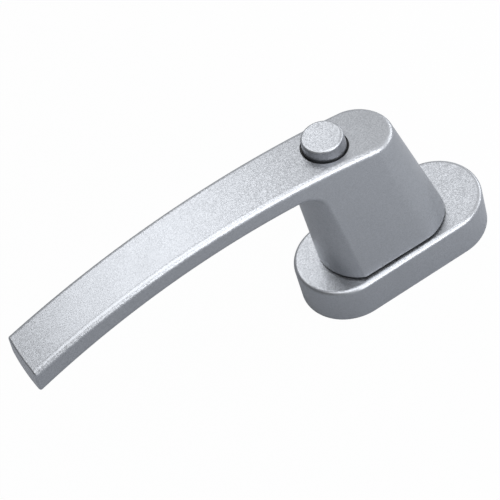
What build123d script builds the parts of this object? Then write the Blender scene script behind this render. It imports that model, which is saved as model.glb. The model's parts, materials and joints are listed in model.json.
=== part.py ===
# Push-button window handle: a round-ended rosette, an arched lever on a hollow neck and a sprung release button.
# Millimetres. The origin is the spindle axis on the mounting plane, +Z points into the room,
# and the closed lever points along -X, in line with the rosette.
import os
from math import cos, hypot, radians, sin, sqrt

from build123d import *

# Rosette cover
ROSETTE_LENGTH = 68.4
ROSETTE_WIDTH = 32.0
ROSETTE_HEIGHT = 13.9
ROSETTE_WALL = 1.8
ROSETTE_EDGE = 1.5

# Base plate and its fixing
BASE_THICKNESS = 2.4
SCREW_PITCH = 43.0
SCREW_THREAD = 5.0
SCREW_BOSS = 9.2
SCREW_BOSS_HEIGHT = 5.0

# Bearing of the hub in the rosette
JOURNAL_DIAMETER = 18.0
BUSH_WALL = 1.2
BUSH_FLANGE = 1.5
BUSH_FLANGE_THICKNESS = 0.8
BUSH_RECESS = 0.2
BEARING_PLATE_THICKNESS = 2.0
POST_DIAMETER = 4.7
PLATE_SCREW = 2.0
PLATE_SCREW_HEAD = 3.8
PLATE_SCREW_LENGTH = 6.5

# Detent cam, its leaf springs and the ring that holds the cam on the journal
CAM_WALL = 1.6
CAM_LIFT_ROOM = 1.2
CAM_CORNER = 1.2
CAM_FLAT = 0.9
DETENT_SPRING_THICKNESS = 0.6
DETENT_SPRING_OVERHANG = 1.2
RING_THICKNESS = 0.8
RING_WIDTH = 2.0
RING_GROOVE = 0.7
RING_MOUTH = 5.0
JOURNAL_END = 0.65

# Lock: a ring of spring steel whose tongue stands in the pin bore of the journal
LEAF_THICKNESS = 0.5
LEAF_WIDTH = 2.6
LEAF_CLEAR = 0.4
LEAF_DROP = 1.3
TONGUE_WIDTH = 1.8
TONGUE_THICKNESS = 1.2
TONGUE_ENGAGEMENT = 1.8
LEAF_RIVET = 1.6
LEAF_RIVET_HEAD = 2.6
LEAF_RIVET_RISE = 0.5
LEAF_RIVET_ANGLE = 20.0
LOCK_RADIUS = 6.2
LOCK_PIN = 2.6

# Spindle socket and hub
SPINDLE_SQUARE = 7.1
SOCKET_DEPTH = 17.8
SOCKET_ROOF = 2.0
FLANGE_THICKNESS = 4.0
HUB_SCREW = 3.0
HUB_SCREW_HEAD = 5.6
HUB_SCREW_LENGTH = 12.0
HUB_BOSS_WALL = 1.3

# Neck of the lever: its foot over the rosette, and its top at the height of the arm's crown
NECK_GAP = 1.0
NECK_WALL = 3.0
NECK_FOOT_WIDTH = 28.2
NECK_FOOT_HEEL = 20.0
NECK_FOOT_NOSE = 25.0
NECK_FOOT_BULGE = 16.2
NECK_TOP_WIDTH = 21.1
NECK_TOP_HEEL = 7.4
NECK_TOP_NOSE = 26.9
NECK_TOP_BULGE = 18.7

# Arm of the lever
ARM_LENGTH = 126.1
ARM_HEIGHT = 66.8
ARM_CROWN = 50.9
ARM_TOP_RADIUS = 271.0
ARM_THICKNESS = 7.4
ARM_UNDER_CROWN = 50.0
ARM_UNDER_RADIUS = 252.0
ARM_TAPER = 0.0158
ARM_TIP_RADIUS = 110.0
ARM_TIP_LEAN = 5.0
ARM_TIP_EDGE = 0.7
ARM_EDGE = 2.0
ARM_UNDER_EDGE = 1.5
ARM_ROOT = 6.0

# Push button, its guide sleeve, spring and plunger
BUTTON_OFFSET = 13.4
BUTTON_DIAMETER = 13.8
BUTTON_TOP_DIAMETER = 13.3
BUTTON_RISE = 4.8
BUTTON_LENGTH = 16.4
BUTTON_EDGE = 0.9
BUTTON_TRAVEL = 3.2
GUIDE_WALL = 0.55
GUIDE_RECESS = 0.6
GUIDE_TAIL = 1.0
STEM_DIAMETER = 6.0
STEM_SOCKET = 9.0
LEDGE_THICKNESS = 4.0
SHOE_WIDTH = 7.0
SHOE_THICKNESS = 5.0
SHOE_ROOM = 2.0
SPRING_WIRE = 1.0
SPRING_DIAMETER = 10.6
SPRING_TURNS = 4.0

# Clearances
RUN = 0.06
SLIDE = 0.15
FIT = 0.1
TOUCH = 0.02
SNAP = 0.01
OVER = 1.0

# Levels inside the rosette, from the mounting plane up
leaf_top = BASE_THICKNESS + LEAF_THICKNESS
journal_end = leaf_top + LEAF_DROP
ring_bottom = journal_end + JOURNAL_END
cam_bottom = ring_bottom + RING_THICKNESS + TOUCH
cover_ceiling = ROSETTE_HEIGHT - ROSETTE_WALL
plate_top = cover_ceiling - BUSH_FLANGE_THICKNESS
plate_bottom = plate_top - BEARING_PLATE_THICKNESS
cam_top = plate_bottom - FIT
tongue_top = journal_end + TONGUE_ENGAGEMENT

# Levels in the neck, from its foot up
foot_level = ROSETTE_HEIGHT + NECK_GAP
flange_top = foot_level + FLANGE_THICKNESS
socket_roof = journal_end + SOCKET_DEPTH
hub_top = max(socket_roof + SOCKET_ROOF, flange_top)
shoe_bottom = hub_top + BUTTON_TRAVEL + SHOE_ROOM
shoe_top = shoe_bottom + SHOE_THICKNESS
spring_seat = shoe_top + LEDGE_THICKNESS
pin_end = journal_end + BUTTON_TRAVEL

# Radii and half widths
cavity_half = ROSETTE_WIDTH / 2 - ROSETTE_WALL
journal_radius = JOURNAL_DIAMETER / 2
bush_radius = journal_radius + RUN + BUSH_WALL
cam_half = journal_radius + CAM_WALL
cam_reach = cavity_half - CAM_LIFT_ROOM
spring_face = cam_half + FIT / 2
spring_back = spring_face + DETENT_SPRING_THICKNESS
post_x = spring_back + POST_DIAMETER / 2
post_y = cavity_half - 2 * FIT - POST_DIAMETER / 2
leaf_outer = spring_face - LEAF_CLEAR
leaf_inner = leaf_outer - LEAF_WIDTH
pin_bore = LOCK_PIN / 2 + SLIDE
button_bore = BUTTON_DIAMETER / 2 + SLIDE + GUIDE_WALL


def arm_top_level(x):
    """Height of the lever's arched top above the mounting plane."""
    return ARM_HEIGHT - ARM_TOP_RADIUS + sqrt(ARM_TOP_RADIUS ** 2 - (x + ARM_CROWN) ** 2)


def arm_under_level(x):
    """Height of the arm's arched underside above the mounting plane."""
    level = ARM_HEIGHT - ARM_THICKNESS - ARM_UNDER_RADIUS
    return level + sqrt(ARM_UNDER_RADIUS ** 2 - (x + ARM_UNDER_CROWN) ** 2)


button_top = arm_top_level(-BUTTON_OFFSET) + BUTTON_RISE
button_bottom = button_top - BUTTON_LENGTH


def up_the_neck(z, foot, top):
    """A neck size at height z, from its values at the foot and at the crown's height."""
    return foot + (top - foot) * (z - foot_level) / (ARM_HEIGHT - foot_level)


def stadium(length, width):
    """Plan of a bar with round ends."""
    return SlotOverall(length, width)


def disc(radius, bottom, top, x=0.0, y=0.0):
    """Upright cylinder between two levels."""
    return Pos(x, y, bottom) * extrude(Circle(radius), top - bottom)


def screw(radius, head_radius, length):
    """Countersunk screw, its head flush at z = 0 and its shank towards -Z."""
    head = head_radius - radius
    outline = Polyline(
        (0, 0), (head_radius, 0), (radius, -head), (radius, -length), (0, -length), close=True
    )
    return revolve(Plane.XZ * make_face(outline), Axis.Z)


def screw_hole(radius, head_radius, depth):
    """The room that a countersunk screw takes, with a sliding clearance round it."""
    return screw(radius + SLIDE, head_radius + SLIDE, depth)


def bar_section(z):
    """Plan of the whole lever blank at height z: straight tapered sides and a round heel."""
    half = up_the_neck(z, NECK_FOOT_WIDTH, NECK_TOP_WIDTH) / 2
    heel = up_the_neck(z, NECK_FOOT_HEEL, NECK_TOP_HEEL)
    centre = heel - half
    slant = hypot(1, ARM_TAPER)
    tangent = Vector(centre - half * ARM_TAPER / slant, half / slant)
    end = -ARM_LENGTH - OVER
    end_half = tangent.Y + ARM_TAPER * (end - tangent.X)
    outline = [
        Line((end, -end_half), (tangent.X, -tangent.Y)),
        ThreePointArc((tangent.X, -tangent.Y), (heel, 0), (tangent.X, tangent.Y)),
        Line((tangent.X, tangent.Y), (end, end_half)),
        Line((end, end_half), (end, -end_half)),
    ]
    return Pos(0, 0, z) * make_face(outline)


def nose_section(z, reach):
    """Plan of everything on the heel side of the neck's bulged nose at height z."""
    nose = -up_the_neck(z, NECK_FOOT_NOSE, NECK_TOP_NOSE)
    bulge = up_the_neck(z, NECK_FOOT_BULGE, NECK_TOP_BULGE)
    half = up_the_neck(z, NECK_FOOT_WIDTH, NECK_TOP_WIDTH) / 2 + OVER
    side = nose + bulge - sqrt(bulge ** 2 - half ** 2)
    outline = [
        ThreePointArc((side, half), (nose, 0), (side, -half)),
        Line((side, -half), (reach, -half)),
        Line((reach, -half), (reach, half)),
        Line((reach, half), (side, half)),
    ]
    return Pos(0, 0, z) * make_face(outline)


def neck_inside(z, inset):
    """Plan of the neck's hollow at height z, a given wall in from the outside."""
    half = up_the_neck(z, NECK_FOOT_WIDTH, NECK_TOP_WIDTH) / 2
    centre = up_the_neck(z, NECK_FOOT_HEEL, NECK_TOP_HEEL) - half
    nose = -up_the_neck(z, NECK_FOOT_NOSE, NECK_TOP_NOSE) + inset
    bulge = up_the_neck(z, NECK_FOOT_BULGE, NECK_TOP_BULGE) - inset
    half = half - ARM_TAPER * (centre - nose) - inset
    side = nose + bulge - sqrt(bulge ** 2 - half ** 2)
    outline = [
        Line((side, -half), (centre, -half)),
        ThreePointArc((centre, -half), (centre + half, 0), (centre, half)),
        Line((centre, half), (side, half)),
        ThreePointArc((side, half), (nose, 0), (side, -half)),
    ]
    return Pos(0, 0, z) * make_face(outline)


def neck_core(inset):
    """The neck's hollow from its foot up to the ledge, a given wall in from the outside."""
    return loft([neck_inside(foot_level, inset), neck_inside(shoe_top, inset)], ruled=True)


def side_profile(corners):
    """Outline drawn in the XZ plane, pulled out over the whole width of the lever."""
    depth = NECK_FOOT_WIDTH
    return extrude(Plane.XZ * make_face(corners), depth, both=True)


def top_arc(start, end):
    """The lever's top line between two places along X, as (x, z) points of one arc."""
    middle = (start + end) / 2
    points = [(x, arm_top_level(x)) for x in (start, middle, end)]
    return ThreePointArc(*points)


def under_arc(start, end):
    """The arm's underside line between two places along X."""
    middle = (start + end) / 2
    points = [(x, arm_under_level(x)) for x in (start, middle, end)]
    return ThreePointArc(*points)


# Screw places in the neck: two beside the plunger's shoe and one in the heel
hub_boss = HUB_SCREW / 2 + HUB_BOSS_WALL
hub_screw_side = SHOE_WIDTH / 2 + OVER + hub_boss
hub_screw_heel = journal_radius + HUB_SCREW_HEAD / 2 + OVER
hub_screws_at = [
    (-BUTTON_OFFSET, hub_screw_side),
    (-BUTTON_OFFSET, -hub_screw_side),
    (hub_screw_heel, 0),
]


def lever_blank():
    """The cast outside: arched arm and bulged neck in one, before any rounding or bore."""
    heel = NECK_FOOT_HEEL + OVER
    end = -ARM_LENGTH - OVER
    crown = ARM_HEIGHT + OVER
    root = -BUTTON_OFFSET
    bar = loft([bar_section(foot_level), bar_section(crown)], ruled=True)
    under_top = side_profile([
        top_arc(end, heel),
        Line((heel, arm_top_level(heel)), (heel, foot_level)),
        Line((heel, foot_level), (end, foot_level)),
        Line((end, foot_level), (end, arm_top_level(end))),
    ])
    over_arm = side_profile([
        under_arc(end, root),
        Line((root, arm_under_level(root)), (root, crown)),
        Line((root, crown), (end, crown)),
        Line((end, crown), (end, arm_under_level(end))),
    ])
    neck = loft([nose_section(foot_level, heel), nose_section(crown, heel)], ruled=True)
    return bar & under_top & (neck + over_arm) & tip_zone()


def tip_zone():
    """Everything on the neck's side of the arm's end face, which is bowed in plan and leans outwards below."""
    foot = Vector(-ARM_LENGTH, 0, arm_under_level(-ARM_LENGTH))
    lean = radians(ARM_TIP_LEAN)
    across = Plane(origin=foot, x_dir=(cos(lean), 0, -sin(lean)), z_dir=(sin(lean), 0, cos(lean)))
    half = NECK_FOOT_WIDTH
    bow = ARM_TIP_RADIUS - sqrt(ARM_TIP_RADIUS ** 2 - half ** 2)
    far = 2 * ARM_LENGTH
    outline = [
        ThreePointArc((bow, half), (0, 0), (bow, -half)),
        Line((bow, -half), (far, -half)),
        Line((far, -half), (far, half)),
        Line((far, half), (bow, half)),
    ]
    return extrude(across * make_face(outline), ARM_HEIGHT, both=True)


def lever():
    """Lever casting: rounded edges, hollow neck, screw bosses and the stepped button bore."""
    body = lever_blank()
    body = fillet(body.edges().filter_by(is_root), ARM_ROOT)
    body = fillet(body.edges().filter_by(is_under), ARM_UNDER_EDGE)
    body = fillet(body.edges().filter_by(is_rim), ARM_EDGE)
    body = fillet(body.edges().filter_by(is_tip), ARM_TIP_EDGE)
    hollow = neck_core(NECK_WALL)
    for x, y in hub_screws_at:
        hollow -= disc(hub_boss, flange_top, shoe_top, x, y)
        hollow += disc(HUB_SCREW / 2 + TOUCH, flange_top, foot_level + HUB_SCREW_LENGTH + OVER, x, y)
    body -= hollow
    body -= disc(button_bore, spring_seat, ARM_HEIGHT + OVER, -BUTTON_OFFSET)
    body -= disc(STEM_DIAMETER / 2 + SLIDE, shoe_top, spring_seat, -BUTTON_OFFSET)
    return body


def lies_on(edge, level):
    """Whether an edge lies on the arched surface whose height along X is given."""
    return all(abs(p.Z - level(p.X)) < SNAP for p in (edge @ 0, edge @ 0.5, edge @ 1))


def is_root(edge):
    """The hollow corner where the arm's underside meets the nose of the neck."""
    reach = edge.bounding_box()
    return lies_on(edge, arm_under_level) and reach.size.Y > reach.size.X and reach.min.X > -ARM_LENGTH / 2


def is_under(edge):
    """The long lower edges of the arm, which run on over the root into the neck's creases."""
    reach = edge.bounding_box()
    return lies_on(edge, arm_under_level) and reach.size.X > reach.size.Y


def is_tip(edge):
    """The edges round the arm's end face."""
    return edge.bounding_box().max.X < -ARM_LENGTH + ARM_THICKNESS


def is_rim(edge):
    """The edges round the arched top, apart from the one across the tip."""
    return lies_on(edge, arm_top_level) and edge.bounding_box().max.X > -ARM_LENGTH / 2


def rosette_cover():
    """Cover shell with a rounded rim, open below, bored for the bush."""
    shell = extrude(stadium(ROSETTE_LENGTH, ROSETTE_WIDTH), ROSETTE_HEIGHT)
    shell = fillet(shell.faces().sort_by(Axis.Z)[-1].edges(), ROSETTE_EDGE)
    inside = stadium(ROSETTE_LENGTH - 2 * ROSETTE_WALL, ROSETTE_WIDTH - 2 * ROSETTE_WALL)
    shell -= extrude(inside, cover_ceiling)
    return shell - disc(bush_radius + SLIDE, cover_ceiling, ROSETTE_HEIGHT)


def base_plate():
    """Cast base: flange inside the cover, tapped bosses, bearing posts and the opening for the spindle."""
    inset = ROSETTE_WALL + FIT
    plate = extrude(stadium(ROSETTE_LENGTH - 2 * inset, ROSETTE_WIDTH - 2 * inset), BASE_THICKNESS)
    opening = extrude(Circle(spring_face - FIT / 2), BASE_THICKNESS)
    pad = Pos(leaf_inner - OVER + leaf_outer, 0) * Rectangle(2 * leaf_outer, 2 * leaf_outer)
    plate -= opening - extrude(pad, BASE_THICKNESS)
    boss_top = BASE_THICKNESS + SCREW_BOSS_HEIGHT
    for side in (-1, 1):
        x = side * SCREW_PITCH / 2
        plate += disc(SCREW_BOSS / 2, BASE_THICKNESS, boss_top, x)
        plate -= disc(SCREW_THREAD / 2, 0, boss_top, x)
    for x, y in posts_at:
        plate += disc(POST_DIAMETER / 2, BASE_THICKNESS, plate_bottom, x, y)
        plate -= disc(PLATE_SCREW / 2 + TOUCH, plate_top - PLATE_SCREW_LENGTH - FIT, plate_bottom, x, y)
    for x, y in rivets_at:
        plate -= disc(LEAF_RIVET / 2 + TOUCH, BASE_THICKNESS / 2, BASE_THICKNESS, x, y)
    return plate


def bearing_plate():
    """Bridge on the four posts that carries the bush and keeps the cam down."""
    corner = POST_DIAMETER / 2 + FIT
    outline = RectangleRounded(2 * (post_x + corner), 2 * (post_y + corner), corner)
    plate = Pos(0, 0, plate_bottom) * extrude(outline, BEARING_PLATE_THICKNESS)
    plate -= disc(bush_radius + TOUCH, plate_bottom, plate_top)
    for x, y in posts_at:
        plate -= Pos(x, y, plate_top) * screw_hole(PLATE_SCREW / 2, PLATE_SCREW_HEAD / 2, PLATE_SCREW_LENGTH)
    return plate


def bearing_plate_screws():
    """The four screws of the bearing plate."""
    one = screw(PLATE_SCREW / 2, PLATE_SCREW_HEAD / 2, PLATE_SCREW_LENGTH)
    return Compound([Pos(x, y, plate_top) * one for x, y in posts_at])


def bearing_bush():
    """Flanged plain bush between the bearing plate and the cover's ceiling."""
    bush = disc(bush_radius, plate_bottom, ROSETTE_HEIGHT - BUSH_RECESS)
    bush += disc(bush_radius + BUSH_FLANGE, plate_top, cover_ceiling)
    return bush - disc(journal_radius + RUN, plate_bottom, ROSETTE_HEIGHT)


def glide_ring():
    """Flat ring that the neck turns on, in the gap over the rosette."""
    outer = min(NECK_FOOT_WIDTH, ROSETTE_WIDTH) / 2 - OVER
    ring = disc(outer, ROSETTE_HEIGHT, foot_level - FIT / 2)
    return ring - disc(journal_radius + SLIDE, ROSETTE_HEIGHT, foot_level)


def detent_spring(side):
    """Leaf standing on the base plate, against a flat of the cam and two posts."""
    x = side * (spring_face + spring_back) / 2
    length = 2 * (post_y + DETENT_SPRING_OVERHANG)
    strip = Rectangle(DETENT_SPRING_THICKNESS, length)
    return Pos(x, 0, BASE_THICKNESS) * extrude(strip, plate_bottom - FIT - BASE_THICKNESS)


def lock_leaf():
    """Ring of spring steel, riveted at one side, with an upright tongue at the other."""
    ring = Circle(leaf_outer) - Circle(leaf_inner)
    tab_start = -leaf_inner - LEAF_WIDTH / 2
    tab_end = -LOCK_RADIUS + TONGUE_THICKNESS / 2
    tab = Pos((tab_start + tab_end) / 2, 0) * Rectangle(tab_end - tab_start, TONGUE_WIDTH)
    leaf = extrude(ring + tab, LEAF_THICKNESS)
    tongue = Pos(-LOCK_RADIUS, 0) * Rectangle(TONGUE_THICKNESS, TONGUE_WIDTH)
    leaf += extrude(tongue, tongue_top - BASE_THICKNESS)
    for x, y in rivets_at:
        leaf -= disc(LEAF_RIVET / 2 + TOUCH, 0, LEAF_THICKNESS, x, y)
    return Pos(0, 0, BASE_THICKNESS) * leaf


def leaf_rivets():
    """Two rivets through the leaf into the base plate."""
    one = disc(LEAF_RIVET / 2, BASE_THICKNESS / 2, leaf_top)
    one += disc(LEAF_RIVET_HEAD / 2, leaf_top, leaf_top + LEAF_RIVET_RISE)
    return Compound([Pos(x, y) * one for x, y in rivets_at])


def cam_bore(clearance):
    """Plan of the journal's lower end, a circle with two flats."""
    across = 2 * (journal_radius - CAM_FLAT + clearance)
    return Circle(journal_radius + clearance) & Rectangle(4 * journal_radius, across)


def detent_cam():
    """Square cam with rounded corners, keyed on the journal's flats."""
    plan = Rectangle(2 * cam_half, 2 * cam_half) & Circle(cam_reach)
    cam = extrude(plan, cam_top - cam_bottom)
    cam = fillet(cam.edges().filter_by(Axis.Z), CAM_CORNER)
    cam -= extrude(cam_bore(TOUCH), cam_top - cam_bottom)
    return Pos(0, 0, cam_bottom) * cam


def retaining_ring():
    """Open ring in the journal's groove, under the cam."""
    inner = journal_radius - RING_GROOVE + TOUCH
    plan = Circle(inner + RING_WIDTH) - Circle(inner)
    plan -= Pos(inner + RING_WIDTH / 2, 0) * Rectangle(2 * RING_WIDTH, RING_MOUTH)
    return Pos(0, 0, ring_bottom) * extrude(plan, RING_THICKNESS)


def hub():
    """Hub: flange that closes the neck, journal with cam flats and ring groove, square socket, pin bore."""
    body = neck_core(NECK_WALL + FIT) & disc(ROSETTE_LENGTH, foot_level, flange_top)
    body += disc(journal_radius, cam_top, hub_top)
    body += Pos(0, 0, journal_end) * extrude(cam_bore(0), cam_top - journal_end)
    groove = disc(journal_radius + OVER, ring_bottom, cam_bottom)
    body -= groove - disc(journal_radius - RING_GROOVE, ring_bottom, cam_bottom)
    body -= Pos(0, 0, journal_end) * extrude(Rectangle(SPINDLE_SQUARE, SPINDLE_SQUARE), SOCKET_DEPTH)
    body -= disc(pin_bore, journal_end, hub_top, -LOCK_RADIUS)
    for x, y in hub_screws_at:
        hole = screw_hole(HUB_SCREW / 2, HUB_SCREW_HEAD / 2, HUB_SCREW_LENGTH)
        body -= Pos(x, y, foot_level) * Rot(180, 0, 0) * hole
    return body


def hub_screws():
    """The screws that hold the hub in the neck, put in from below."""
    one = Rot(180, 0, 0) * screw(HUB_SCREW / 2, HUB_SCREW_HEAD / 2, HUB_SCREW_LENGTH)
    return Compound([Pos(x, y, foot_level) * one for x, y in hub_screws_at])


def button_guide():
    """Thin sleeve in the button bore, cut to the slope of the arm a little below its surface."""
    sleeve_bottom = button_bottom - BUTTON_TRAVEL - GUIDE_TAIL
    sleeve = disc(button_bore, sleeve_bottom, ARM_HEIGHT, -BUTTON_OFFSET)
    sleeve -= disc(button_bore - GUIDE_WALL, sleeve_bottom, ARM_HEIGHT, -BUTTON_OFFSET)
    far = -BUTTON_OFFSET + 2 * button_bore
    near = -BUTTON_OFFSET - 2 * button_bore
    above = side_profile([
        top_arc(near, far),
        Line((far, arm_top_level(far)), (far, ARM_HEIGHT + OVER)),
        Line((far, ARM_HEIGHT + OVER), (near, ARM_HEIGHT + OVER)),
        Line((near, ARM_HEIGHT + OVER), (near, arm_top_level(near))),
    ])
    return sleeve - Pos(0, 0, -GUIDE_RECESS) * above


def push_button():
    """Turned button: a straight skirt in the guide, a slight taper above it, and a rounded rim."""
    skirt = BUTTON_DIAMETER / 2
    crown = BUTTON_TOP_DIAMETER / 2
    taper_from = button_top - BUTTON_RISE
    outline = Polyline(
        (0, button_bottom), (skirt, button_bottom), (skirt, taper_from), (crown, button_top), (0, button_top),
        close=True,
    )
    body = revolve(Plane.XZ * make_face(outline), Axis.Z)
    body = fillet(body.faces().sort_by(Axis.Z)[-1].edges(), BUTTON_EDGE)
    body -= disc(STEM_DIAMETER / 2 + TOUCH, button_bottom, button_bottom + STEM_SOCKET)
    return Pos(-BUTTON_OFFSET, 0) * body


def button_plunger():
    """Stem under the button with a shoe that reaches in over the lock pin."""
    stem = disc(STEM_DIAMETER / 2, shoe_bottom, button_bottom + STEM_SOCKET, -BUTTON_OFFSET)
    span = BUTTON_OFFSET - LOCK_RADIUS
    plan = Pos(-LOCK_RADIUS - span / 2, 0) * SlotCenterToCenter(span, SHOE_WIDTH)
    shoe = Pos(0, 0, shoe_bottom) * extrude(plan, SHOE_THICKNESS)
    return stem + shoe - disc(LOCK_PIN / 2 + TOUCH, shoe_bottom, shoe_top, -LOCK_RADIUS)


def lock_pin():
    """Pin from the plunger's shoe down through the hub, over the tongue of the leaf."""
    pin = disc(LOCK_PIN / 2, pin_end, shoe_top - FIT, -LOCK_RADIUS)
    return chamfer(pin.faces().sort_by(Axis.Z)[0].edges(), SLIDE)


def button_spring():
    """Compression spring between the ledge in the bore and the button's skirt."""
    wire = SPRING_WIRE / 2
    height = button_bottom - spring_seat - 2 * (wire + TOUCH)
    radius = (SPRING_DIAMETER - SPRING_WIRE) / 2
    path = Helix(height / SPRING_TURNS, height, radius)
    section = Plane(path @ 0, z_dir=path % 0) * Circle(wire)
    return Pos(-BUTTON_OFFSET, 0, spring_seat + wire + TOUCH) * sweep(section, path)


posts_at = [(x, y) for x in (-post_x, post_x) for y in (-post_y, post_y)]
rivet_ring = (leaf_inner + leaf_outer) / 2
rivet_turns = [radians(turn) for turn in (-LEAF_RIVET_ANGLE, LEAF_RIVET_ANGLE)]
rivets_at = [(rivet_ring * cos(turn), rivet_ring * sin(turn)) for turn in rivet_turns]

PARTS = {
    "rosette_cover": rosette_cover,
    "base_plate": base_plate,
    "bearing_plate": bearing_plate,
    "bearing_plate_screws": bearing_plate_screws,
    "bearing_bush": bearing_bush,
    "glide_ring": glide_ring,
    "detent_spring_left": lambda: detent_spring(-1),
    "detent_spring_right": lambda: detent_spring(1),
    "lock_leaf": lock_leaf,
    "leaf_rivets": leaf_rivets,
    "lever": lever,
    "hub": hub,
    "hub_screws": hub_screws,
    "detent_cam": detent_cam,
    "retaining_ring": retaining_ring,
    "button_guide": button_guide,
    "button_spring": button_spring,
    "push_button": push_button,
    "button_plunger": button_plunger,
    "lock_pin": lock_pin,
}

if __name__ == "__main__":
    os.makedirs("parts", exist_ok=True)
    for node, make in PARTS.items():
        export_step(make(), f"parts/{node}.step")
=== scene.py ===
# Push-button window handle: finishes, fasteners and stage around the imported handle.
# Lengths are metres, in the frame of the handle: spindle axis at the origin, +Z into the room.
import json
import math

import bmesh
import bpy
from mathutils import Matrix, Vector


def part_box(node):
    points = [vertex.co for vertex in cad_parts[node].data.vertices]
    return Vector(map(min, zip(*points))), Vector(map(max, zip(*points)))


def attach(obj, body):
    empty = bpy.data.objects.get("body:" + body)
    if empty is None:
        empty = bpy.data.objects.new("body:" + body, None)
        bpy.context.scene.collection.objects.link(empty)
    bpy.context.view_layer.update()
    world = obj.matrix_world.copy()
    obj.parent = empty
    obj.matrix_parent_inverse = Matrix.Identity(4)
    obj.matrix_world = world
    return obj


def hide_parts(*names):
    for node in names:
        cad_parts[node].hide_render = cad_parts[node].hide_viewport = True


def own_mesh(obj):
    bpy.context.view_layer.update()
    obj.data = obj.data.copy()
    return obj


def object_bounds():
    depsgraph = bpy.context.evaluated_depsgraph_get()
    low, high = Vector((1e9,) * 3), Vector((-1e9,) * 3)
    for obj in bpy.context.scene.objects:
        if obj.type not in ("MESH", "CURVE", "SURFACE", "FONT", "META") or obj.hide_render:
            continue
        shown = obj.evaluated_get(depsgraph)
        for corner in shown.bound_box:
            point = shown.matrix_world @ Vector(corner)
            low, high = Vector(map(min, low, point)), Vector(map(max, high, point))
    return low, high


bl_info = {
    "name": "Push-button window handle",
    "version": (1, 0, 0),
    "blender": (4, 5, 0),
    "location": "3D View > Sidebar > Handle",
    "description": "Coats the castings, finishes the mechanism, models the fasteners and sets the stage",
    "category": "Object",
}

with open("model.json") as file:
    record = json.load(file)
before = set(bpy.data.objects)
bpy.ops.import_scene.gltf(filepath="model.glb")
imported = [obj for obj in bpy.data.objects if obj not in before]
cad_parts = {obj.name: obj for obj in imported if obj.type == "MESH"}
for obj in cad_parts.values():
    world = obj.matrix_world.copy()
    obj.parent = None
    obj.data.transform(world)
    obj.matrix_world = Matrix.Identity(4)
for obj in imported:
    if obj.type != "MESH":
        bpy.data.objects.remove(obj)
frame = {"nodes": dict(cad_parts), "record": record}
CAD_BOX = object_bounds()
MM = 0.001

# Points nearer than WELD are one point, edges flatter than SMOOTH are shaded smooth, and a face whose normal
# has more than FACING of Z in it faces up or down.
WELD = 0.001 * MM
SMOOTH = math.radians(35)
FACING = 0.9

# How finely round shapes are divided.
TURNED_SIDES = 32
WIRE_SIDES = 16
THREAD_STEPS = 28
COIL_STEPS = 40
DOME_SEGMENTS = 6

# Shares that give the screws and rivets their form, each of the size that its name ends in, and the taper by
# which a recess narrows to its floor, along its arm and across it.
CORE_OF_THREAD = 0.8
PITCH_OF_THREAD = 0.2
FLANK_OF_PITCH = 0.45
ROOT_OF_CORE = 0.97
POINT_OF_CORE = 0.8
POINT_END_OF_CORE = 0.45
RECESS_OF_HEAD = 0.62
RECESS_DEPTH_OF_HEAD = 0.3
ARM_OF_RECESS = 0.3
RECESS_TAPER = (0.45, 0.7, 1)
DOME_OF_RISE = 0.85

# Sockets of a Mix node that mixes colours; their names are also those of its sockets for other values.
FACTOR, FIRST, SECOND, MIXED = 0, 6, 7, 2
# A Wave texture of scale 1 repeats at this distance.
WAVE_LENGTH = math.tau / 20

WHITE = (1, 1, 1, 1)
FLOOR_SIZE = 6.0
SENSOR_MM = 36
LAMP_DISTANCE = 1.5
# Each lamp's name, the setting with its power, its azimuth and elevation in degrees, its width and height.
LAMPS = (
    ("roof_softbox", "roof", -10, 74, (1.4, 1.5)),
    ("rear_softbox", "rear", 182, 52, (1.6, 0.55)),
    ("rear_strip", "streak", 184, 52, (0.95, 0.6)),
    ("front_softbox", "front", 20, 20, (1.3, 1.0)),
    ("side_softbox", "side", 95, 10, (1.6, 0.5)),
)


def linear(hex_colour):
    """Linear RGBA of an sRGB hex colour."""
    channels = [int(hex_colour[i:i + 2], 16) / 255 for i in (1, 3, 5)]
    return [c / 12.92 if c <= 0.04045 else ((c + 0.055) / 1.055) ** 2.4 for c in channels] + [1.0]


def per_mm(size_mm):
    """Texture scale at which one cell of a pattern is the given size across."""
    return 1 / (size_mm * MM)


def colour(name, text, hex_colour):
    """A colour property with an sRGB hex default."""
    return bpy.props.FloatVectorProperty(
        name=name, description=text, subtype="COLOR", size=4, min=0, max=1, default=linear(hex_colour)
    )


def number(name, text, default, low=0.0, high=1.0):
    """A plain number property."""
    return bpy.props.FloatProperty(name=name, description=text, default=default, min=low, max=high)


def watts(name, text, default):
    """The power of a lamp in watts."""
    return number(name, text, default, 0.0, 500.0)


def length(name, text, default_mm):
    """A length property, given in millimetres and held in metres."""
    return bpy.props.FloatProperty(
        name=name, description=text, default=default_mm * MM, min=0, precision=5, unit="LENGTH"
    )


def angle(name, text, degrees):
    """An angle property, given in degrees and held in radians."""
    return bpy.props.FloatProperty(
        name=name, description=text, default=math.radians(degrees), unit="ROTATION"
    )


class HANDLE_PG_coat(bpy.types.PropertyGroup):
    """The silver coat of the castings."""
    colour: colour("Coat", "Body colour of the metallic coat", "#A4A7AC")
    flake: colour("Flake", "Colour of the brighter metal flakes", "#B4B7BC")
    # Painted shade: the button's side colour is darker than the coat and stands in for the shade on its
    # upright side.
    painted_side_shade: colour("Button's side", "Colour of the turned side of the button", "#919398")
    roughness: number("Roughness", "How far the coat spreads a reflection", 0.38)
    flake_mm: number("Flake size", "Size of a metal flake in millimetres", 0.26, 0.05, 5.0)
    flake_tilt: number("Flake tilt", "How far the flakes lie out of the surface", 0.15)


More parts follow.
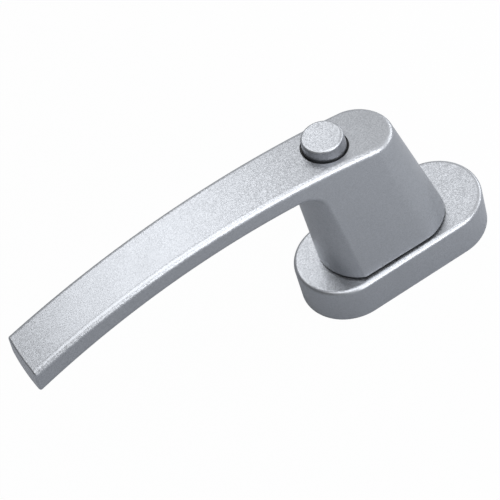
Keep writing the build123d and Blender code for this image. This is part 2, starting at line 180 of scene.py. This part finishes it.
class HANDLE_PG_inside(bpy.types.PropertyGroup):
    """Finishes of the mechanism."""
    zinc: colour("Zinc", "Bare zinc casting", "#85888C")
    zinc_pale: colour("Pale zinc", "Brighter patches of the casting's skin", "#9B9EA2")
    steel: colour("Steel", "Turned steel", "#A3A29F")
    plate: colour("Plating", "Blue side of the zinc plating on the fasteners", "#BCC3CA")
    plate_warm: colour("Warm plating", "Yellow side of the zinc plating", "#CBC6B4")
    spring: colour("Spring steel", "Oil-blued spring steel", "#5A5E66")
    spring_straw: colour("Straw", "Straw tint left by tempering", "#6E675C")
    acetal: colour("Acetal", "Natural acetal of the bearings", "#E6E2D6")
    black: colour("Black acetal", "Black acetal of the button's sleeve", "#111214")


class HANDLE_PG_fasteners(bpy.types.PropertyGroup):
    """Sizes of the fasteners and springs that the frame doesn't give."""
    hub_thread: length("Hub screw", "Thread of the screws in the neck", 3.0)
    plate_thread: length("Plate screw", "Thread of the screws in the bearing plate", 2.0)
    fixing_thread: length("Fixing screw", "Thread tapped in the base plate's bosses", 5.0)
    fixing_pitch: length("Fixing pitch", "Pitch of the fixing screws' thread", 0.8)
    fixing_rise: number("Fixing ridge", "Height of the fixing thread's ridge, as a share of its pitch", 0.54)
    fixing_sink: length("Fixing root", "How far the fixing thread's root lies in the boss", 0.02)
    fixing_start: length("Fixing start", "Height at which the fixing thread starts", 0.2)
    fixing_end: length("Fixing end", "Height up to which the bosses are tapped", 7.2)
    rivet_shank: length("Rivet", "Shank of the leaf's rivets", 1.6)
    rivet_rise: length("Rivet head", "Height of the rivets' domed heads", 0.5)
    leaf_sheet: length("Leaf sheet", "Thickness of the lock leaf's sheet", 0.5)
    tongue_root: length("Tongue root", "How far over the sheet the tongue starts to give way", 0.1)
    tongue_room: length("Tongue room", "Gap between the hub and the tongue once it is pushed out", 0.05)
    spring_wire: length("Spring wire", "Wire of the button's spring", 1.0)
    spring_turns: bpy.props.IntProperty(
        name="Spring turns", description="Turns of the button's spring", default=4, min=1
    )


class HANDLE_PG_stage(bpy.types.PropertyGroup):
    """Floor, lamps and camera."""
    # The floor is painted darker on the tip's side than on the heel's side. This is painted shade, which the
    # faces of the handle that look towards the tip reflect.
    floor: colour("Floor", "Colour of the floor on the heel's side", "#B3B5B9")
    floor_tip_painted_shade: colour("Floor at the tip", "Colour of the floor on the tip's side", "#989A9E")
    fade: length("Floor fade", "Width over which the floor changes from one colour to the other", 160.0)
    seen: number("White floor", "Share of white that the eye sees; the rest keeps the shadow", 0.98)
    mirrored: number("Mirrored white", "Share of white in reflections of the floor and the room", 0.05)
    roof: watts("Roof softbox", "Power of the softbox overhead", 14.8)
    rear: watts("Rear softbox", "Power of the wide softbox behind", 1.8)
    streak: watts("Rear strip", "Power of the narrower softbox behind", 3.3)
    front: watts("Front softbox", "Power of the softbox low in front", 14.0)
    side: watts("Side softbox", "Power of the softbox low at the heel's side", 6.0)
    ambient: number("Ambient", "Strength of the room's light from the heel's side", 1.04, 0.0, 5.0)
    ambient_tip: number("Ambient at the tip", "Strength of the light from the tip's side", 0.1, 0.0, 5.0)
    lens: bpy.props.FloatProperty(
        name="Lens", description="Focal length on a 36 mm sensor", unit="CAMERA", default=145.7
    )
    place: bpy.props.FloatVectorProperty(
        name="Camera", description="Where the camera stands", subtype="XYZ", unit="LENGTH",
        default=(-0.1608, -0.3918, 0.5214)
    )
    azimuth: angle("Azimuth", "Direction of the camera round the handle", -16.23)
    elevation: angle("Elevation", "How far the camera looks down", 49.67)
    roll: angle("Roll", "Turn of the camera about its own axis", -19.56)


def add_node(tree, kind, inputs=None, **settings):
    """Adds a node, sets it, and gives each named input a value or a link from another node's output."""
    node = tree.nodes.new(kind)
    for name, value in settings.items():
        setattr(node, name, value)
    for name, value in (inputs or {}).items():
        if isinstance(value, bpy.types.NodeSocket):
            tree.links.new(value, node.inputs[name])
        else:
            node.inputs[name].default_value = value
    return node


def new_material(name):
    """An empty node material, its tree and the Object coordinates in it."""
    material = bpy.data.materials.new(name)
    material.use_nodes = True
    tree = material.node_tree
    tree.nodes.clear()
    return material, tree, add_node(tree, "ShaderNodeTexCoord").outputs["Object"]


def close_material(tree, inputs):
    """Ends a tree in one shader with the given inputs."""
    shader = add_node(tree, "ShaderNodeBsdfPrincipled", inputs)
    add_node(tree, "ShaderNodeOutputMaterial", {"Surface": shader.outputs["BSDF"]})


def give(material, *nodes):
    """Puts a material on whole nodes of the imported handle."""
    for node in nodes:
        piece = frame["nodes"][node]
        piece.data.materials.clear()
        piece.data.materials.append(material)


def nodes_in(slot):
    """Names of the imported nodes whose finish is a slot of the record."""
    return [row["node"] for row in frame["record"]["subparts"] if row["material_slot"] == slot]


def silver_coat(name, props, side=None):
    """Metal under a baked silver coat: its flake gives a satin sheen with a fine, lively grain.

    Where a side colour is given, upright faces have it: painted shade that makes the button's side darker
    than its top.
    """
    cloud_mm = 9.0
    roughness_spread = 0.03
    side_below, top_above = 0.15, 0.45
    material, tree, coords = new_material(name)
    # The flakes, some 0.05 mm across, are drawn several times as large so that they show.
    # Those that lean towards the tip are the brighter ones, so their colour adds to their sheen on the tops.
    flakes = add_node(tree, "ShaderNodeTexVoronoi", {"Vector": coords, "Scale": per_mm(props.flake_mm)})
    chance = add_node(tree, "ShaderNodeSeparateColor", {"Color": flakes.outputs["Color"]})
    body = add_node(tree, "ShaderNodeMix", {
        FACTOR: chance.outputs["Red"], FIRST: tuple(props.flake), SECOND: tuple(props.colour),
    }, data_type="RGBA")
    lean = add_node(tree, "ShaderNodeVectorMath", {
        0: flakes.outputs["Color"], 1: (0.5, 0.5, 0.5),
    }, operation="SUBTRACT")
    surface = add_node(tree, "ShaderNodeNewGeometry")
    shade = body.outputs[MIXED]
    # Painted shade: faces whose normal has little Z in it take the darker side colour, while the top keeps
    # the coat's colour.
    if side:
        upright = add_node(tree, "ShaderNodeSeparateXYZ", {"Vector": surface.outputs["Normal"]})
        face = add_node(tree, "ShaderNodeMapRange", {
            "Value": upright.outputs["Z"], "From Min": side_below, "From Max": top_above,
        })
        shade = add_node(tree, "ShaderNodeMix", {
            FACTOR: face.outputs["Result"], FIRST: tuple(side), SECOND: body.outputs[MIXED],
        }, data_type="RGBA").outputs[MIXED]
    tilted = add_node(tree, "ShaderNodeVectorMath", {
        0: lean.outputs[0], 1: [props.flake_tilt] * 3, 2: surface.outputs["Normal"],
    }, operation="MULTIPLY_ADD")
    facing = add_node(tree, "ShaderNodeVectorMath", {0: tilted.outputs[0]}, operation="NORMALIZE")
    cloud = add_node(tree, "ShaderNodeTexNoise", {
        "Vector": coords, "Scale": per_mm(cloud_mm), "Detail": 2.0,
    })
    rough = add_node(tree, "ShaderNodeMapRange", {
        "Value": cloud.outputs["Fac"],
        "To Min": props.roughness - roughness_spread, "To Max": props.roughness + roughness_spread,
    })
    close_material(tree, {
        "Base Color": shade, "Metallic": 1.0, "Roughness": rough.outputs["Result"],
        "Normal": facing.outputs[0],
    })
    return material


def cast_zinc(props):
    """Die-cast zinc, left bare: a dull grey skin, cloudy where the metal chilled, with a faint cast grain."""
    cloud_mm, grain_mm, grain_depth_mm = 5.0, 0.4, 0.03
    dull, bright = 0.55, 0.4
    material, tree, coords = new_material("die_cast_zinc_bare")
    cloud = add_node(tree, "ShaderNodeTexNoise", {
        "Vector": coords, "Scale": per_mm(cloud_mm), "Detail": 4.0,
    })
    skin = add_node(tree, "ShaderNodeMix", {
        FACTOR: cloud.outputs["Fac"], FIRST: tuple(props.zinc), SECOND: tuple(props.zinc_pale),
    }, data_type="RGBA")
    rough = add_node(tree, "ShaderNodeMapRange", {
        "Value": cloud.outputs["Fac"], "To Min": dull, "To Max": bright,
    })
    grain = add_node(tree, "ShaderNodeTexNoise", {
        "Vector": coords, "Scale": per_mm(grain_mm), "Detail": 2.0,
    })
    bump = add_node(tree, "ShaderNodeBump", {
        "Height": grain.outputs["Fac"], "Distance": grain_depth_mm * MM,
    })
    close_material(tree, {
        "Base Color": skin.outputs[MIXED], "Metallic": 1.0, "Roughness": rough.outputs["Result"],
        "Normal": bump.outputs["Normal"],
    })
    return material


def turned_steel(props):
    """Free-cutting steel, turned: fine grooves round the axis that draw a reflection out into streaks."""
    # The feed of 0.1 mm is drawn at 0.35 mm so that it shows.
    feed_mm, groove_depth_mm = 0.35, 0.008
    bright, dull = 0.24, 0.34
    material, tree, coords = new_material("free_cutting_steel_turned")
    groove = add_node(tree, "ShaderNodeTexWave", {
        "Vector": coords, "Scale": per_mm(feed_mm) * WAVE_LENGTH, "Distortion": 0.6, "Detail": 1.0,
    }, bands_direction="Z")
    rough = add_node(tree, "ShaderNodeMapRange", {
        "Value": groove.outputs["Fac"], "To Min": bright, "To Max": dull,
    })
    bump = add_node(tree, "ShaderNodeBump", {
        "Height": groove.outputs["Fac"], "Distance": groove_depth_mm * MM,
    })
    close_material(tree, {
        "Base Color": tuple(props.steel), "Metallic": 1.0, "Roughness": rough.outputs["Result"],
        "Normal": bump.outputs["Normal"],
    })
    return material


def plated_steel(props):
    """Steel, zinc-plated and passivated: bright, between blue and straw from place to place."""
    tint_mm = 2.5
    bright, dull = 0.2, 0.32
    material, tree, coords = new_material("steel_zinc_plated")
    tint = add_node(tree, "ShaderNodeTexNoise", {
        "Vector": coords, "Scale": per_mm(tint_mm), "Detail": 1.0,
    })
    plate = add_node(tree, "ShaderNodeMix", {
        FACTOR: tint.outputs["Fac"], FIRST: tuple(props.plate), SECOND: tuple(props.plate_warm),
    }, data_type="RGBA")
    rough = add_node(tree, "ShaderNodeMapRange", {
        "Value": tint.outputs["Fac"], "To Min": bright, "To Max": dull,
    })
    close_material(tree, {
        "Base Color": plate.outputs[MIXED], "Metallic": 1.0, "Roughness": rough.outputs["Result"],
    })
    return material


def spring_steel(props):
    """Spring steel, hardened and oil-blued: dark, with straw patches of the tempering and a rolled grain."""
    temper_mm, grain_mm = 6.0, 1.5
    grain_stretch = (8.0, 0.5, 8.0)
    bright, dull = 0.24, 0.38
    material, tree, coords = new_material("spring_steel_oil_blued")
    temper = add_node(tree, "ShaderNodeTexNoise", {
        "Vector": coords, "Scale": per_mm(temper_mm), "Detail": 2.0,
    })
    blue = add_node(tree, "ShaderNodeMix", {
        FACTOR: temper.outputs["Fac"], FIRST: tuple(props.spring), SECOND: tuple(props.spring_straw),
    }, data_type="RGBA")
    rolled = add_node(tree, "ShaderNodeMapping", {"Vector": coords, "Scale": grain_stretch})
    grain = add_node(tree, "ShaderNodeTexNoise", {
        "Vector": rolled.outputs["Vector"], "Scale": per_mm(grain_mm),
    })
    rough = add_node(tree, "ShaderNodeMapRange", {
        "Value": grain.outputs["Fac"], "To Min": bright, "To Max": dull,
    })
    close_material(tree, {
        "Base Color": blue.outputs[MIXED], "Metallic": 1.0, "Roughness": rough.outputs["Result"],
    })
    return material


def moulded_acetal(name, shade, scatter):
    """Acetal, moulded: a waxy plastic with a soft gloss over the faint texture of its mould."""
    texture_mm, texture_depth_mm, scatter_mm = 0.3, 0.01, 0.5
    bright, dull = 0.36, 0.48
    acetal_ior = 1.48
    material, tree, coords = new_material(name)
    texture = add_node(tree, "ShaderNodeTexNoise", {
        "Vector": coords, "Scale": per_mm(texture_mm), "Detail": 2.0,
    })
    rough = add_node(tree, "ShaderNodeMapRange", {
        "Value": texture.outputs["Fac"], "To Min": bright, "To Max": dull,
    })
    bump = add_node(tree, "ShaderNodeBump", {
        "Height": texture.outputs["Fac"], "Distance": texture_depth_mm * MM,
    })
    close_material(tree, {
        "Base Color": tuple(shade), "IOR": acetal_ior, "Roughness": rough.outputs["Result"],
        "Subsurface Weight": scatter, "Subsurface Scale": scatter_mm * MM,
        "Normal": bump.outputs["Normal"],
    })
    return material


class HANDLE_OT_castings(bpy.types.Operator):
    """Coats the lever, the rosette cover and the button"""
    bl_idname = "handle.castings"
    bl_label = "Coat the castings"

    def execute(self, context):
        props = context.scene.handle_coat
        give(silver_coat("die_cast_metal_silver_coat", props), "lever", "rosette_cover")
        # The button's upright side is painted darker, as painted shade.
        give(silver_coat("turned_aluminium_silver_coat", props, props.painted_side_shade), "push_button")
        return {"FINISHED"}


class HANDLE_OT_mechanism(bpy.types.Operator):
    """Finishes the base plate, the hub, the springs and the bearings"""
    bl_idname = "handle.mechanism"
    bl_label = "Finish the mechanism"

    def execute(self, context):
        props = context.scene.handle_inside
        give(cast_zinc(props), *nodes_in("zinc_casting"))
        give(turned_steel(props), *nodes_in("turned_steel"))
        give(plated_steel(props), *nodes_in("plated_fasteners"))
        give(spring_steel(props), *nodes_in("spring_steel"))
        give(moulded_acetal("acetal_natural", props.acetal, scatter=0.3), *nodes_in("bearing_plastic"))
        give(moulded_acetal("acetal_black", props.black, scatter=0.0), *nodes_in("black_plastic"))
        return {"FINISHED"}


def deselect():
    """Leaves object mode's selection empty before a new piece starts."""
    bpy.ops.object.select_all(action="DESELECT")


def open_copy(node, name):
    """Opens a merged copy of a node's mesh in edit mode, all of it selected."""
    deselect()
    copy = bpy.data.objects.new(name, frame["nodes"][node].data.copy())
    bpy.context.scene.collection.objects.link(copy)
    bpy.context.view_layer.objects.active = copy
    copy.select_set(True)
    bpy.ops.object.mode_set(mode="EDIT")
    bpy.ops.mesh.select_all(action="SELECT")
    bpy.ops.mesh.remove_doubles(threshold=WELD)
    return copy


def solid_boxes(node):
    """Lowest and highest corners of the separate solids that make up one node."""
    open_copy(node, node)
    bpy.ops.mesh.separate(type="LOOSE")
    bpy.ops.object.mode_set(mode="OBJECT")
    boxes = []
    for solid in bpy.context.selected_objects:
        points = [vertex.co for vertex in solid.data.vertices]
        boxes.append([Vector(pick(axis) for axis in zip(*points)) for pick in (min, max)])
    bpy.ops.object.delete()
    return boxes


def middle_of(box, level):
    """The point in the middle of a box in plan, at a given height."""
    low, high = box
    return Vector(((low.x + high.x) / 2, (low.y + high.y) / 2, level))


def pick_faces(test):
    """Selects, in edit mode, only the faces whose normal passes a test."""
    shape = bmesh.from_edit_mesh(bpy.context.object.data)
    bpy.ops.mesh.select_mode(type="FACE")
    bpy.ops.mesh.select_all(action="DESELECT")
    for face in shape.faces:
        face.select_set(test(face.normal))
    bmesh.update_edit_mesh(bpy.context.object.data)


def faces_down(normal):
    """Whether a face with this normal looks down."""
    return normal.z < -FACING


def faces_up(normal):
    """Whether a face with this normal looks up."""
    return normal.z > FACING


def widen(scale_x, scale_y, level):
    """Resizes what is selected about the Z axis, at its own level."""
    bpy.ops.transform.resize(value=(scale_x, scale_y, 1), center_override=(0, 0, level))


def pull(distance):
    """Extrudes the selected face along Z."""
    bpy.ops.mesh.extrude_region_move(TRANSFORM_OT_translate={"value": (0, 0, distance)})


def turned_head(name, diameter, height):
    """Starts a turned piece in edit mode: a short cylinder that hangs down from z = 0."""
    deselect()
    bpy.ops.mesh.primitive_cylinder_add(
        vertices=TURNED_SIDES, radius=diameter / 2, depth=height, location=(0, 0, -height / 2)
    )
    head = bpy.context.active_object
    head.name = name
    bpy.ops.object.transform_apply(location=True)
    bpy.ops.object.mode_set(mode="EDIT")
    return head


def wind(outline, rise, turns, steps):
    """Winds a closed outline about the Z axis, closes both ends and points all faces outwards."""
    sides = len(outline.data.vertices)
    winding = outline.modifiers.new("winding", "SCREW")
    winding.screw_offset = rise
    winding.iterations = turns
    winding.steps = winding.render_steps = steps
    bpy.ops.object.modifier_apply(modifier=winding.name)
    bpy.ops.object.mode_set(mode="EDIT")
    bpy.ops.mesh.select_all(action="SELECT")
    bpy.ops.mesh.fill_holes(sides=sides)
    bpy.ops.mesh.normals_make_consistent(inside=False)
    bpy.ops.object.mode_set(mode="OBJECT")


def thread_ridge(name, wall, crest, pitch, bottom, top):
    """The ridge of a thread round the Z axis, of triangular section, from its wall to its crest."""
    deselect()
    bpy.ops.mesh.primitive_circle_add(vertices=3, radius=pitch)
    ridge = bpy.context.active_object
    ridge.name = name
    flank = FLANK_OF_PITCH * pitch
    corners = ((wall, bottom), (crest, bottom + flank), (wall, bottom + 2 * flank))
    for vertex, (x, z) in zip(ridge.data.vertices, corners):
        vertex.co = (x, 0, z)
    wind(ridge, pitch, int((top - bottom - 2 * flank) / pitch), THREAD_STEPS)
    return ridge


def cross_cutter(across, depth):
    """A tapered cross that stands in a screw's head, with its middle at the head's face."""
    deselect()
    bpy.ops.mesh.primitive_cube_add(size=1, scale=(across, ARM_OF_RECESS * across, 2 * depth))
    cutter = bpy.context.active_object
    bpy.ops.object.mode_set(mode="EDIT")
    pick_faces(faces_down)
    bpy.ops.transform.resize(value=RECESS_TAPER, center_override=(0, 0, -depth))
    bpy.ops.mesh.select_all(action="SELECT")
    bpy.ops.mesh.duplicate()
    bpy.ops.transform.rotate(value=math.pi / 2, orient_axis="Z", center_override=(0, 0, 0))
    bpy.ops.object.mode_set(mode="OBJECT")
    return cutter


def countersunk_screw(name, thread, head, reach):
    """A countersunk cross-recess screw of a given thread, head and length, its head up at z = 0."""
    core = CORE_OF_THREAD * thread / 2
    cone = head / 2 - core
    point = POINT_OF_CORE * core
    pitch = PITCH_OF_THREAD * thread
    ridge = thread_ridge(name + "_thread", ROOT_OF_CORE * core, thread / 2, pitch, point - reach, -cone)
    cutter = cross_cutter(RECESS_OF_HEAD * head, RECESS_DEPTH_OF_HEAD * head)
    blank = turned_head(name, head, cone)
    pick_faces(faces_down)
    widen(2 * core / head, 2 * core / head, -cone)
    pull(cone + point - reach)
    pull(-point)
    widen(POINT_END_OF_CORE, POINT_END_OF_CORE, -reach)
    bpy.ops.object.mode_set(mode="OBJECT")
    recess = blank.modifiers.new("recess", "BOOLEAN")
    recess.object = cutter
    recess.use_self = True
    bpy.ops.object.modifier_apply(modifier=recess.name)
    bpy.data.objects.remove(cutter)
    ridge.select_set(True)
    bpy.ops.object.join()
    bpy.ops.object.shade_smooth_by_angle(angle=SMOOTH)
    return blank


def place_copies(master, places, turned=False):
    """Copies a master to each place, upside down where asked, and deletes the master."""
    copies = []
    for count, place in enumerate(places, 1):
        deselect()
        master.select_set(True)
        bpy.context.view_layer.objects.active = master
        bpy.ops.object.duplicate()
        copy = bpy.context.active_object
        copy.name = f"{master.name}_{count}"
        copy.location = place
        copy.rotation_euler.x = math.pi if turned else 0.0
        bpy.ops.object.transform_apply()
        copies.append(copy)
    bpy.data.objects.remove(master)
    return copies


def fit_pieces(pieces, material, body, node=None):
    """Finishes new pieces, sets them on a body and lets them stand for the node that they model."""
    for piece in pieces:
        piece.data.materials.clear()
        piece.data.materials.append(bpy.data.materials[material])
        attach(piece, body)
        if node:
            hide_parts(node)


class HANDLE_OT_screws(bpy.types.Operator):
    """Models the screws of the hub and of the bearing plate"""
    bl_idname = "handle.screws"
    bl_label = "Model the screws"

    def execute(self, context):
        props = context.scene.handle_fasteners
        self.set_screws("hub_screw", "hub_screws", "handle", props.hub_thread, head_up=False)
        self.set_screws(
            "bearing_plate_screw", "bearing_plate_screws", "base", props.plate_thread, head_up=True
        )
        return {"FINISHED"}

    def set_screws(self, name, node, body, thread, head_up):
        """Models one screw to the size of a node's solids and puts a copy in the place of each."""
        boxes = solid_boxes(node)
        low, high = boxes[0]
        master = countersunk_screw(name, thread, high.x - low.x, high.z - low.z)
        places = [middle_of((low, high), high.z if head_up else low.z) for low, high in boxes]
        screws = place_copies(master, places, turned=not head_up)
        fit_pieces(screws, "steel_zinc_plated", body, node)


class HANDLE_OT_rivets(bpy.types.Operator):
    """Models the domed rivets of the lock leaf"""
    bl_idname = "handle.rivets"
    bl_label = "Model the rivets"

    def execute(self, context):
        props = context.scene.handle_fasteners
        boxes = solid_boxes("leaf_rivets")
        low, high = boxes[0]
        master = self.rivet(high.x - low.x, high.z - low.z, props.rivet_shank, props.rivet_rise)
        rivets = place_copies(master, [middle_of((low, high), high.z) for low, high in boxes])
        fit_pieces(rivets, "steel_zinc_plated", "base", "leaf_rivets")
        return {"FINISHED"}

    def rivet(self, head, reach, shank, rise):
        """A rivet with a domed head, the top of the dome at z = 0."""
        rivet = turned_head("leaf_rivet", head, rise)
        pick_faces(faces_up)
        bpy.ops.mesh.bevel(offset=DOME_OF_RISE * rise, segments=DOME_SEGMENTS)
        pick_faces(faces_down)
        bpy.ops.mesh.inset(thickness=(head - shank) / 2)
        pull(rise - reach)
        bpy.ops.object.mode_set(mode="OBJECT")
        bpy.ops.object.shade_smooth_by_angle(angle=SMOOTH)
        return rivet


class HANDLE_OT_threads(bpy.types.Operator):
    """Models the threads tapped in the base plate's two bosses"""
    bl_idname = "handle.threads"
    bl_label = "Model the fixing threads"

    def execute(self, context):
        props = context.scene.handle_fasteners
        mount = next(row for row in frame["record"]["mounts"] if row["name"] == "fixing_holes")
        spacing = mount["dims"]["spacing_x_mm"] * MM
        wall = props.fixing_thread / 2 + props.fixing_sink
        crest = wall - props.fixing_rise * props.fixing_pitch
        master = thread_ridge(
            "fixing_thread", wall, crest, props.fixing_pitch, props.fixing_start, props.fixing_end
        )
        bpy.ops.object.shade_smooth_by_angle(angle=SMOOTH)
        threads = place_copies(master, [(side * spacing / 2, 0, 0) for side in (-1, 1)])
        fit_pieces(threads, "die_cast_zinc_bare", "base")
        return {"FINISHED"}


class HANDLE_OT_leaf(bpy.types.Operator):
    """Parts the lock leaf's tongue from its ring"""
    bl_idname = "handle.leaf"
    bl_label = "Part the lock leaf"

    def execute(self, context):
        props = context.scene.handle_fasteners
        low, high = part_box("lock_leaf")
        level = low.z + props.leaf_sheet + props.tongue_root
        ring = self.cut("lock_leaf_ring", level, above=False)
        tongue = self.cut("lock_leaf_tongue", level, above=True)
        fit_pieces([ring, tongue], "spring_steel_oil_blued", "base", "lock_leaf")
        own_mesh(tongue)
        return {"FINISHED"}

    def cut(self, name, level, above):
        """The part of the leaf that lies above or below a level, closed where it was cut."""
        part = open_copy("lock_leaf", name)
        bpy.ops.mesh.bisect(
            plane_co=(0, 0, level), plane_no=(0, 0, 1), use_fill=True, threshold=WELD,
            clear_inner=above, clear_outer=not above,
        )
        bpy.ops.object.mode_set(mode="OBJECT")
        return part


class HANDLE_OT_spring(bpy.types.Operator):
    """Winds the button's spring"""
    bl_idname = "handle.spring"
    bl_label = "Wind the button's spring"

    def execute(self, context):
        props = context.scene.handle_fasteners
        low, high = [Vector(corner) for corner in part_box("button_spring")]
        across, _, height = high - low
        coil = self.coil(across, height, props.spring_wire, props.spring_turns)
        coil.location = middle_of((low, high), low.z)
        bpy.ops.object.transform_apply()
        fit_pieces([coil], "spring_steel_oil_blued", "handle", "button_spring")
        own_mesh(coil)
        return {"FINISHED"}

    def coil(self, across, height, wire, turns):
        """A round wire wound about the Z axis from z = 0 up, both ends closed."""
        deselect()
        centre = ((across - wire) / 2, 0, wire / 2)
        bpy.ops.mesh.primitive_circle_add(
            vertices=WIRE_SIDES, radius=wire / 2, location=centre, rotation=(math.pi / 2, 0, 0)
        )
        coil = bpy.context.active_object
        coil.name = "button_spring_coil"
        bpy.ops.object.transform_apply()
        wind(coil, (height - wire) / turns, turns, COIL_STEPS)
        bpy.ops.object.shade_smooth_by_angle(angle=SMOOTH)
        return coil


def white_share(tree, seen, mirrored):
    """How far a surface turns plain white: one share to the eye, one in reflections and through glass."""
    path = add_node(tree, "ShaderNodeLightPath")
    second = add_node(tree, "ShaderNodeMath", {
        0: path.outputs["Is Glossy Ray"], 1: path.outputs["Is Transmission Ray"],
    }, operation="MAXIMUM")
    paler = add_node(tree, "ShaderNodeMath", {0: second.outputs[0], 1: mirrored}, operation="MULTIPLY")
    share = add_node(tree, "ShaderNodeMath", {
        0: path.outputs["Is Camera Ray"], 1: seen, 2: paler.outputs[0],
    }, operation="MULTIPLY_ADD")
    return share.outputs[0]


def floor_material(props):
    """Matt paper, pale, white to the eye and paler in reflections, with the shadow kept; it is painted darker
    towards the tip's side, as painted shade that the handle's faces towards the tip reflect.
    """
    material, tree, coords = new_material("matt_white_paper")
    across = add_node(tree, "ShaderNodeSeparateXYZ", {"Vector": coords})
    fade = add_node(tree, "ShaderNodeMapRange", {
        "Value": across.outputs["X"], "From Min": -props.fade / 2, "From Max": props.fade / 2,
    }, interpolation_type="SMOOTHSTEP")
    # Painted shade: over the fade, the floor darkens towards the tip's side so that the handle's faces there
    # reflect it.
    shade = add_node(tree, "ShaderNodeMix", {
        FACTOR: fade.outputs["Result"], FIRST: tuple(props.floor_tip_painted_shade), SECOND: tuple(props.floor),
    }, data_type="RGBA")
    paper = add_node(tree, "ShaderNodeBsdfDiffuse", {"Color": shade.outputs[MIXED]})
    white = add_node(tree, "ShaderNodeEmission", {"Color": WHITE, "Strength": 1.0})
    mix = add_node(tree, "ShaderNodeMixShader", {
        0: white_share(tree, props.seen, props.mirrored),
        1: paper.outputs["BSDF"], 2: white.outputs["Emission"],
    })
    add_node(tree, "ShaderNodeOutputMaterial", {"Surface": mix.outputs["Shader"]})
    return material


def direction(azimuth, elevation):
    """Unit vector from the handle, the azimuth counted from the front towards +X."""
    flat = math.cos(elevation)
    return Vector((math.sin(azimuth) * flat, -math.cos(azimuth) * flat, math.sin(elevation)))


def softbox(name, azimuth, elevation, size, power):
    """A rectangular lamp that faces the handle from a direction given in degrees."""
    lamp = bpy.data.lights.new(name, "AREA")
    lamp.shape = "RECTANGLE"
    lamp.size, lamp.size_y = size
    lamp.energy = power
    holder = bpy.data.objects.new(name, lamp)
    towards = direction(math.radians(azimuth), math.radians(elevation))
    holder.location = (CAD_BOX[0] + CAD_BOX[1]) / 2 + LAMP_DISTANCE * towards
    holder.rotation_euler = towards.to_track_quat("Z", "Y").to_euler()
    bpy.context.scene.collection.objects.link(holder)


class HANDLE_OT_stage(bpy.types.Operator):
    """Sets the floor, the lamps, the room's light and the camera"""
    bl_idname = "handle.stage"
    bl_label = "Set the stage"

    def execute(self, context):
        props = context.scene.handle_stage
        self.lay_floor(props)
        for name, power, azimuth, elevation, size in LAMPS:
            softbox(name, azimuth, elevation, size, getattr(props, power))
        self.light_room(context, props)
        self.place_camera(context, props)
        context.scene.view_settings.view_transform = "Standard"
        return {"FINISHED"}

    def lay_floor(self, props):
        """Lays the floor under the rosette's back face."""
        deselect()
        bpy.ops.mesh.primitive_plane_add(size=FLOOR_SIZE)
        floor = bpy.context.active_object
        floor.name = "floor"
        floor.data.materials.append(floor_material(props))

    def light_room(self, context, props):
        """Lights the room from the heel's side more than from the tip's, and shows it white to the eye."""
        world = bpy.data.worlds.new("pale_room")
        world.use_nodes = True
        tree = world.node_tree
        tree.nodes.clear()
        towards = add_node(tree, "ShaderNodeSeparateXYZ", {
            "Vector": add_node(tree, "ShaderNodeTexCoord").outputs["Generated"],
        })
        falloff = add_node(tree, "ShaderNodeMapRange", {
            "Value": towards.outputs["X"], "From Min": -1.0,
            "To Min": props.ambient_tip, "To Max": props.ambient,
        })
        room = add_node(tree, "ShaderNodeBackground", {
            "Color": WHITE, "Strength": falloff.outputs["Result"],
        })
        white = add_node(tree, "ShaderNodeBackground", {"Color": WHITE, "Strength": 1.0})
        mix = add_node(tree, "ShaderNodeMixShader", {
            0: white_share(tree, 1.0, props.mirrored), 1: room.outputs[0], 2: white.outputs[0],
        })
        add_node(tree, "ShaderNodeOutputWorld", {"Surface": mix.outputs[0]})
        context.scene.world = world

    def place_camera(self, context, props):
        """Sets the camera at the photograph's viewing angle."""
        lens = bpy.data.cameras.new("camera")
        lens.sensor_width = SENSOR_MM
        lens.lens = props.lens
        camera = bpy.data.objects.new("camera", lens)
        context.scene.collection.objects.link(camera)
        aim = direction(props.azimuth, props.elevation).to_track_quat("Z", "Y").to_matrix().to_4x4()
        roll = Matrix.Rotation(props.roll, 4, "Z")
        camera.matrix_world = Matrix.Translation(props.place) @ aim @ roll
        context.scene.camera = camera


class HANDLE_PT_panel(bpy.types.Panel):
    """Lists the settings and the steps that dress the handle."""
    bl_idname = "HANDLE_PT_panel"
    bl_label = "Window handle"
    bl_space_type = "VIEW_3D"
    bl_region_type = "UI"
    bl_category = "Handle"

    def draw(self, context):
        for name, group in GROUPS.items():
            box = self.layout.box()
            for setting in group.__annotations__:
                box.prop(getattr(context.scene, name), setting)
        for step in STEPS:
            self.layout.operator(step.bl_idname)


STEPS = (
    HANDLE_OT_castings, HANDLE_OT_mechanism, HANDLE_OT_screws, HANDLE_OT_rivets, HANDLE_OT_threads,
    HANDLE_OT_leaf, HANDLE_OT_spring, HANDLE_OT_stage,
)
GROUPS = {
    "handle_coat": HANDLE_PG_coat,
    "handle_inside": HANDLE_PG_inside,
    "handle_fasteners": HANDLE_PG_fasteners,
    "handle_stage": HANDLE_PG_stage,
}
CLASSES = (*GROUPS.values(), *STEPS, HANDLE_PT_panel)


def register():
    for cls in CLASSES:
        bpy.utils.register_class(cls)
    for name, group in GROUPS.items():
        setattr(bpy.types.Scene, name, bpy.props.PointerProperty(type=group))


def unregister():
    for name in GROUPS:
        delattr(bpy.types.Scene, name)
    for cls in reversed(CLASSES):
        bpy.utils.unregister_class(cls)


def main():
    """Dresses the handle step by step."""
    register()
    bpy.ops.handle.castings()
    bpy.ops.handle.mechanism()
    bpy.ops.handle.screws()
    bpy.ops.handle.rivets()
    bpy.ops.handle.threads()
    bpy.ops.handle.leaf()
    bpy.ops.handle.spring()
    bpy.ops.handle.stage()


if __name__ == "__main__":
    main()
